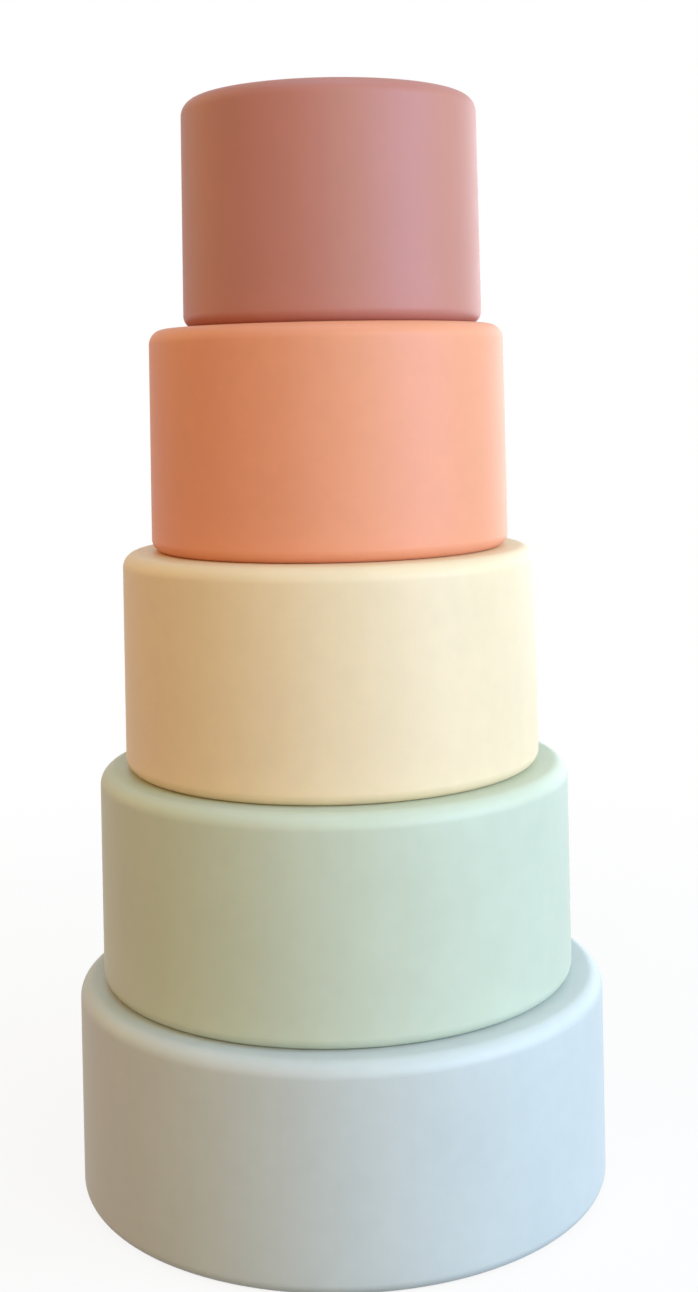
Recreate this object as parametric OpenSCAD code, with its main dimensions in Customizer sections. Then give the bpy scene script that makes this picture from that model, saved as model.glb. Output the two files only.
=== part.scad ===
// Stacking ring tower: five soft moulded rings that stand on one another, mouth down,
// and nest inside one another when they are turned over. Millimetres, +Z up, the origin
// at the middle of the base ring's foot, on the surface that the tower stands on.

/* [Rings] */
// Outside diameter of the base ring across its mouth
base_d = 96; // [80:0.5:130]
// Height of every ring, mouth to deck
ring_h = 38.5; // [24:0.5:60]
// Wall thickness of every ring, measured level
wall = 3; // [2.5:0.1:3.6]
// Thickness of the deck that closes the upper end
deck_t = 3; // [2:0.1:6]
// Lean of the walls inwards towards the deck, in degrees
draft = 1; // [0.2:0.1:2.5]
// Space all round between a ring and the next smaller one nested inside it
nest_gap = 2.5; // [0.5:0.1:3]
// Diameter of the finger hole in the middle of every deck
hole_d = 20; // [12:0.5:24]

/* [Rounded edges] */
// Radius of the outer edge between wall and deck
shoulder_r = 2.7; // [0.5:0.1:4]
// Radius of the inner corner between wall and deck
corner_r = 2; // [0.5:0.1:4]
// Radius of the mouth's outer edge
lip_outer_r = 1.7; // [0.3:0.1:1.8]
// Radius of the mouth's inner edge
lip_inner_r = 0.7; // [0.2:0.1:0.8]
// Radius of the finger hole's two edges
hole_edge_r = 0.8; // [0.2:0.1:0.9]

/* [As stacked by hand] */
// Sideways set of the lower ring from the base ring's axis
lower_set = -0.6; // [-2:0.1:2]
// Sideways set of the middle ring from the base ring's axis
middle_set = -0.8; // [-2:0.1:2]
// Sideways set of the upper ring from the base ring's axis
upper_set = -0.5; // [-2:0.1:2]
// Sideways set of the top ring from the base ring's axis
top_set = 0.7; // [-2:0.1:2]

/* [Hidden] */
$fn = 128;
// Straight steps in each quarter turn of a rounded edge
edge_steps = 8;
// Level reach of a rounded edge's centre from a leaning wall, for a radius of 1
lean = 1 / cos(draft);

// Outside radius across the mouth, counted up the tower from 0: each ring is one wall
// and one nesting space smaller than the ring under it
function mouth_r(place) = base_d / 2 - place * (wall + nest_gap);

// Outside and inside radius of a leaning wall at height z above the mouth
function outside_r(place, z) = mouth_r(place) - z * tan(draft);
function inside_r(place, z) = outside_r(place, z) - wall;

// Points along a rounded edge about a centre, from one angle to another
function edge(centre, r, from, to) =
    [for (i = [0:edge_steps])
        let (a = from + (to - from) * i / edge_steps)
        centre + r * [cos(a), sin(a)]];

// Half section of a ring, mouth at z = 0: the lip, up the outside, over the shoulder,
// across the deck to the finger hole, back under the deck and down the inside
function ring_section(place) =
    let (under_deck = ring_h - deck_t)
    let (hole_edge_x = hole_d / 2 + hole_edge_r)
    let (shoulder_z = ring_h - shoulder_r)
    let (corner_z = under_deck - corner_r)
    concat(
        edge([outside_r(place, lip_outer_r) - lip_outer_r * lean, lip_outer_r], lip_outer_r, -90, draft),
        edge([outside_r(place, shoulder_z) - shoulder_r * lean, shoulder_z], shoulder_r, draft, 90),
        edge([hole_edge_x, ring_h - hole_edge_r], hole_edge_r, 90, 180),
        edge([hole_edge_x, under_deck + hole_edge_r], hole_edge_r, 180, 270),
        edge([inside_r(place, corner_z) - corner_r * lean, corner_z], corner_r, 90, draft),
        edge([inside_r(place, lip_inner_r) + lip_inner_r * lean, lip_inner_r], lip_inner_r, 180 + draft, 270));

// One ring in its place in the tower, its mouth on the deck of the ring below
module ring(place, sideways) {
    translate([sideways, 0, place * ring_h])
        rotate_extrude()
            polygon(ring_section(place));
}

module base_ring() {
    color("#A8B9C2") ring(0, 0);
}

module lower_ring() {
    color("#B3BCA6") ring(1, lower_set);
}

module middle_ring() {
    color("#E8DCC0") ring(2, middle_set);
}

module upper_ring() {
    color("#DF9A78") ring(3, upper_set);
}

module top_ring() {
    color("#BC7F76") ring(4, top_set);
}

base_ring();
lower_ring();
middle_ring();
upper_ring();
top_ring();
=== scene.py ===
import math

import bpy
import numpy as np
from mathutils import Matrix, Vector


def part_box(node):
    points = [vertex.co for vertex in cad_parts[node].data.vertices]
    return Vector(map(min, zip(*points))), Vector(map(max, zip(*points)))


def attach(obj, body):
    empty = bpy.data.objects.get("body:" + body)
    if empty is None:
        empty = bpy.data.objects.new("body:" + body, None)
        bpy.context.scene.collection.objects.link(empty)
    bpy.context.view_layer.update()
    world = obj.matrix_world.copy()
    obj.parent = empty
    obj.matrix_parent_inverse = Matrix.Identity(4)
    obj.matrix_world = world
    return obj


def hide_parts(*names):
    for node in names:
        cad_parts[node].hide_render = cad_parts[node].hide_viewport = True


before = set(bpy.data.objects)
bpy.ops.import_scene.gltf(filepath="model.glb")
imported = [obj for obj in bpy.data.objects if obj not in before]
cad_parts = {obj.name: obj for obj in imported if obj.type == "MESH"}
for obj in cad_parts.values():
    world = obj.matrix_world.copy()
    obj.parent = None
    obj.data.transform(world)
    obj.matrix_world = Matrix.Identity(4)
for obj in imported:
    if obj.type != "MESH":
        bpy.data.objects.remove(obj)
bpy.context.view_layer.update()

# Sizes of the rings in metres. The five share one section and differ in width alone: each is one wall
# and one nesting space smaller than the ring under it
BASE_MOUTH_R = 0.048
WALL = 0.003
NEST_GAP = 0.0025
DECK = 0.003
DRAFT = math.radians(1.0)
SHOULDER_R = 0.0027
CORNER_R = 0.002
LIP_OUTER_R = 0.0022
LIP_INNER_R = 0.0007
HOLE_R = 0.010
HOLE_EDGE_R = 0.0008

# Fineness of the rings: steps round the axis, along a rounded edge and along a straight stretch
STEPS_ROUND = 320
STEPS_EDGE = 14
STEPS_STRAIGHT = 18

# The rings from the foot of the tower up: body, material slot and own colour
RINGS = [
    ("base", "dusty_blue_silicone", (0.533, 0.589, 0.590)),
    ("lower", "sage_green_silicone", (0.523, 0.590, 0.475)),
    ("middle", "cream_silicone", (0.774, 0.633, 0.422)),
    ("upper", "terracotta_silicone", (0.735, 0.299, 0.170)),
    ("top", "mauve_silicone", (0.446, 0.178, 0.143)),
]

# Noises in the silicone, as scale for Object coordinates in metres and detail: broad mottling, the finer
# mottling that handling leaves, and grain from the mould
MOTTLE = (55.0, 3.0)
HANDLED = (300.0, 4.0)
GRAIN = (2600.0, 2.0)

# How far each noise moves the shade of the colour from its darkest to its lightest
MOTTLE_SHADE = 0.10
HANDLED_SHADE = 0.08
GRAIN_SHADE = 0.02

# Gloss of the silicone: least roughness and what handling adds to it, refraction, and the grain's bump
# as a strength and a height in metres
LEAST_ROUGHNESS = 0.42
HANDLED_ROUGHNESS = 0.10
REFRACTION = 1.41
GRAIN_STRENGTH = 0.10
GRAIN_HEIGHT = 0.0001

# Lamps about the tower's middle, at one distance and of one size in metres: turn to the right from the
# camera's side and height above the level in degrees, level of light and colour
LAMP_AIM = (0, 0, 0.096)
LAMP_DISTANCE = 0.70
LAMP_SIZE = 0.50
LAMPS = [
    ("window", 60, 15, 1.14, (0.42, 0.55, 1.00)),
    ("window_side", 90, 20, 0.31, (1.00, 0.92, 0.42)),
    ("front_fill", 20, 20, 0.43, (0.70, 1.00, 0.64)),
    ("warm_front", -30, 20, 0.29, (1.00, 0.23, 0.00)),
    ("warm_side", -110, 25, 0.21, (1.00, 0.57, 0.00)),
    ("right_rim", 140, 5, 0.33, (0.90, 0.95, 1.00)),
    ("overhead", 0, 85, 0.28, (0.18, 0.61, 1.00)),
]

# Light from all round, the white of the background, and the paper of the floor as it is seen and as it
# lights the tower
AMBIENT = (0.34, 0.32, 0.26, 1)
WHITE = (1, 1, 1, 1)
PAPER = (0.80, 0.80, 0.80, 1)
DULL_PAPER = (0.20, 0.20, 0.20, 1)

# Floor in metres: half its side, and the distances from the tower's axis between which its own share of
# brightness sets in under the foot, and grows from the share beside the foot to the whole
FLOOR_HALF = 3.0
FLOOR_FOOT = (0.0440, 0.0470)
FLOOR_FADE = (0.05, 0.35)
SHARE_AT_FOOT = 0.88

# Camera of the photograph: place and nearest view in metres, turns in degrees, and in the photograph's
# pixels its long side, the focal length and the height of the optical axis above the picture's middle
CAMERA_PLACE = (0, -0.3035, 0.1438)
CAMERA_NEAREST = 0.01
CAMERA_DOWN = 7.258
CAMERA_RIGHT = 0.501
CAMERA_ROLL = 1.107
IMAGE_LONG_SIDE = 1292
FOCAL_PIXELS = 1712
AXIS_ABOVE_MIDDLE = 42.5


class Tint:
    """An output of a finish's node. Sums and products of numbers that vary add Math nodes."""

    def __init__(self, finish, socket):
        self.finish = finish
        self.socket = socket

    def worked(self, operation, first, second):
        """The two numbers put through one Math node."""
        settings = {"operation": operation}
        return self.finish.node("ShaderNodeMath", settings, {0: first, 1: second})["Value"]

    def __add__(self, other):
        return self.worked("ADD", self, other)

    def __radd__(self, other):
        return self.worked("ADD", other, self)

    def __mul__(self, other):
        return self.worked("MULTIPLY", self, other)

    def __rmul__(self, other):
        return self.worked("MULTIPLY", other, self)


class Finish:
    """The nodes of one material or of the world, made one at a time by node()."""

    def __init__(self, owner):
        owner.use_nodes = True
        self.tree = owner.node_tree
        self.tree.nodes.clear()

    def node(self, kind, settings=None, sockets=None):
        """Adds a node, sets it, fills or links its inputs and returns its outputs by name."""
        made = self.tree.nodes.new(kind)
        for name, value in (settings or {}).items():
            setattr(made, name, value)
        for name, value in (sockets or {}).items():
            if isinstance(value, Tint):
                self.tree.links.new(value.socket, made.inputs[name])
            else:
                made.inputs[name].default_value = value
        return {out.name: Tint(self, out) for out in made.outputs}


def edge(centre, radius, start, end):
    """A rounded edge: points at equal angles on a circle about centre, from start to end in radians."""
    angle = np.linspace(start, end, STEPS_EDGE + 1)
    return np.stack([centre[0] + radius * np.cos(angle), centre[1] + radius * np.sin(angle)], axis=1)


def ring_section(mouth_r, height):
    """Closed half section of a ring as radius and height: rounded edges joined by straight stretches.

    The outer wall leans in by the tangent of the draft for each unit of height, and the inner wall
    follows it one wall thickness inside. The centre of an edge that touches a wall lies its radius over
    the cosine of the draft away, measured level. Every straight stretch is cut into equal steps.
    """
    quarter = math.pi / 2
    under_deck = height - DECK
    hole_edge_x = HOLE_R + HOLE_EDGE_R

    def beside_wall(z, inset, reach):
        """The point at height z that lies an inset inside the outer wall and a reach square off that."""
        return mouth_r - z * math.tan(DRAFT) - inset + reach / math.cos(DRAFT), z

    edges = [
        edge(beside_wall(LIP_OUTER_R, 0, -LIP_OUTER_R), LIP_OUTER_R, -quarter, DRAFT),
        edge(beside_wall(height - SHOULDER_R, 0, -SHOULDER_R), SHOULDER_R, DRAFT, quarter),
        edge((hole_edge_x, height - HOLE_EDGE_R), HOLE_EDGE_R, quarter, 2 * quarter),
        edge((hole_edge_x, under_deck + HOLE_EDGE_R), HOLE_EDGE_R, 2 * quarter, 3 * quarter),
        edge(beside_wall(under_deck - CORNER_R, WALL, -CORNER_R), CORNER_R, quarter, DRAFT),
        edge(beside_wall(LIP_INNER_R, WALL, LIP_INNER_R), LIP_INNER_R, 2 * quarter + DRAFT, 3 * quarter),
    ]
    between = np.linspace(0, 1, STEPS_STRAIGHT + 1)[1:-1, None]
    outline = []
    for this, following in zip(edges, edges[1:] + edges[:1]):
        outline += [this, this[-1] + between * (following[0] - this[-1])]
    return np.concatenate(outline)


def turned(name, section, foot):
    """A closed section turned about the upright axis through foot: (r, z) goes to (r cos a, r sin a, z).

    Rows follow the section and columns go round, and both ends of the grid close on themselves.
    """
    rows = len(section)
    angle = np.linspace(0, 2 * math.pi, STEPS_ROUND, endpoint=False)
    points = np.empty((rows, STEPS_ROUND, 3))
    points[..., 0] = foot[0] + section[:, :1] * np.cos(angle)
    points[..., 1] = foot[1] + section[:, :1] * np.sin(angle)
    points[..., 2] = foot[2] + section[:, 1:]
    here = np.arange(rows * STEPS_ROUND).reshape(rows, STEPS_ROUND)
    onward = np.roll(here, -1, axis=0)
    quads = np.stack([here, np.roll(here, -1, axis=1), np.roll(onward, -1, axis=1), onward], axis=-1)
    mesh = bpy.data.meshes.new(name)
    mesh.from_pydata(points.reshape(-1, 3), [], quads.reshape(-1, 4))
    mesh.polygons.foreach_set("use_smooth", np.ones(len(mesh.polygons), bool))
    mesh.update()
    piece = bpy.data.objects.new(name, mesh)
    bpy.context.scene.collection.objects.link(piece)
    return piece


def silicone(name, colour):
    """Matte moulded silicone: broad and fine mottling, grain from the mould and an uneven gloss.

    The colour is multiplied by a shade, which is 1 where all three noises are at their middle. The fine
    mottling makes the surface rougher, and the grain raises it.
    """
    material = bpy.data.materials.new(name)
    finish = Finish(material)
    place = finish.node("ShaderNodeTexCoord")["Object"]

    def noise(scale, detail):
        """A noise from 0 to 1 that is fixed to the ring."""
        sockets = {"Vector": place, "Scale": scale, "Detail": detail}
        return finish.node("ShaderNodeTexNoise", sockets=sockets)["Fac"]

    mottle = noise(*MOTTLE)
    handled = noise(*HANDLED)
    grain = noise(*GRAIN)
    darkest = 1 - (MOTTLE_SHADE + HANDLED_SHADE + GRAIN_SHADE) / 2
    shade = darkest + MOTTLE_SHADE * mottle + HANDLED_SHADE * handled + GRAIN_SHADE * grain
    shaded = finish.node("ShaderNodeVectorMath", {"operation": "SCALE"}, {0: colour, "Scale": shade})
    bump = {"Strength": GRAIN_STRENGTH, "Distance": GRAIN_HEIGHT, "Height": grain}
    surface = {
        "Base Color": shaded["Vector"],
        "Roughness": LEAST_ROUGHNESS + HANDLED_ROUGHNESS * handled,
        "Normal": finish.node("ShaderNodeBump", sockets=bump)["Normal"],
        "IOR": REFRACTION,
    }
    shader = finish.node("ShaderNodeBsdfPrincipled", sockets=surface)["BSDF"]
    finish.node("ShaderNodeOutputMaterial", sockets={"Surface": shader})
    return material


def ring(place, body, slot, colour):
    """One ring over its solid: the section for its place in the tower, turned about the solid's axis."""
    node = body + "_ring"
    low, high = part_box(node)
    foot = ((low.x + high.x) / 2, (low.y + high.y) / 2, low.z)
    mouth_r = BASE_MOUTH_R - place * (WALL + NEST_GAP)
    piece = turned(node + "_skin", ring_section(mouth_r, high.z - low.z), foot)
    piece.data.materials.append(silicone(slot, colour))
    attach(piece, body)
    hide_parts(node)


def lamp(name, turn, rise, level, colour):
    """A square soft lamp aimed at the tower, whose level 1 shows a facing surface in its own colour.

    Its power is the level times the square of pi times the distance.
    """
    data = bpy.data.lights.new(name, "AREA")
    data.shape = "SQUARE"
    data.size = LAMP_SIZE
    data.color = colour
    data.energy = level * (math.pi * LAMP_DISTANCE) ** 2
    aside = math.radians(turn)
    up = math.radians(rise)
    away = Vector((math.sin(aside) * math.cos(up), -math.cos(aside) * math.cos(up), math.sin(up)))
    obj = bpy.data.objects.new(name, data)
    obj.location = Vector(LAMP_AIM) + LAMP_DISTANCE * away
    obj.rotation_euler = away.to_track_quat("Z", "Y").to_euler()
    bpy.context.scene.collection.objects.link(obj)


def seen(finish):
    """At least 1 for rays that show the background, from the camera or reflected or refracted, else 0."""
    path = finish.node("ShaderNodeLightPath")
    return path["Is Camera Ray"] + path["Is Glossy Ray"] + path["Is Transmission Ray"]


def mixed(finish, share, first, second):
    """The second shader by its share, from 0 to 1, and the first by the rest."""
    return finish.node("ShaderNodeMixShader", sockets={"Fac": share, 1: first, 2: second})["Shader"]


def white_room():
    """A world that shows white and lights the tower softly from all round."""
    world = bpy.data.worlds.new("white_room")
    bpy.context.scene.world = world
    finish = Finish(world)
    around = finish.node("ShaderNodeBackground", sockets={"Color": AMBIENT})["Background"]
    white = finish.node("ShaderNodeBackground", sockets={"Color": WHITE})["Background"]
    finish.node("ShaderNodeOutputWorld", sockets={"Surface": mixed(finish, seen(finish), around, white)})


def white_paper():
    """Paper of the floor: most of its brightness is its own, and the rest takes the tower's shadow.

    There is no own share under the tower. Outside its foot the share grows smoothly with the distance
    and is whole at the far end of the fade. Light that the tower gets back comes from a duller paper.
    """
    material = bpy.data.materials.new("white_floor")
    finish = Finish(material)
    paper = finish.node("ShaderNodeBsdfDiffuse", sockets={"Color": PAPER})["BSDF"]
    dull = finish.node("ShaderNodeBsdfDiffuse", sockets={"Color": DULL_PAPER})["BSDF"]
    glow = finish.node("ShaderNodeEmission", sockets={"Color": WHITE})["Emission"]
    place = finish.node("ShaderNodeTexCoord")["Object"]
    distance = finish.node("ShaderNodeVectorMath", {"operation": "LENGTH"}, {0: place})["Value"]

    def grown(reach, start, end):
        """Grows smoothly from start to end while the distance goes through the reach."""
        settings = {"interpolation_type": "SMOOTHSTEP"}
        ends = {"From Min": reach[0], "From Max": reach[1], "To Min": start, "To Max": end}
        return finish.node("ShaderNodeMapRange", settings, {"Value": distance, **ends})["Result"]

    own = grown(FLOOR_FOOT, 0.0, 1.0) * grown(FLOOR_FADE, SHARE_AT_FOOT, 1.0)
    shown = mixed(finish, seen(finish), dull, mixed(finish, own, paper, glow))
    finish.node("ShaderNodeOutputMaterial", sockets={"Surface": shown})
    return material


def floor():
    """A square of white paper under the tower."""
    mesh = bpy.data.meshes.new("floor")
    corners = FLOOR_HALF * np.array([(-1, -1, 0), (1, -1, 0), (1, 1, 0), (-1, 1, 0)])
    mesh.from_pydata(corners, [], [(0, 1, 2, 3)])
    mesh.materials.append(white_paper())
    obj = bpy.data.objects.new("floor", mesh)
    bpy.context.scene.collection.objects.link(obj)


def camera():
    """Looks along +Y, then turned to the right, tipped down and rolled as the photograph was taken."""
    data = bpy.data.cameras.new("camera")
    data.lens = FOCAL_PIXELS / IMAGE_LONG_SIDE * data.sensor_width
    data.shift_y = -AXIS_ABOVE_MIDDLE / IMAGE_LONG_SIDE
    data.clip_start = CAMERA_NEAREST
    obj = bpy.data.objects.new("camera", data)
    turned_right = Matrix.Rotation(math.radians(-CAMERA_RIGHT), 4, "Z")
    tipped = Matrix.Rotation(math.radians(90 - CAMERA_DOWN), 4, "X")
    rolled = Matrix.Rotation(math.radians(-CAMERA_ROLL), 4, "Z")
    obj.matrix_world = Matrix.Translation(CAMERA_PLACE) @ turned_right @ tipped @ rolled
    bpy.context.scene.collection.objects.link(obj)
    bpy.context.scene.camera = obj


for place, (body, slot, colour) in enumerate(RINGS):
    ring(place, body, slot, colour)
for settings in LAMPS:
    lamp(*settings)
white_room()
floor()
camera()
bpy.context.scene.view_settings.view_transform = "Standard"
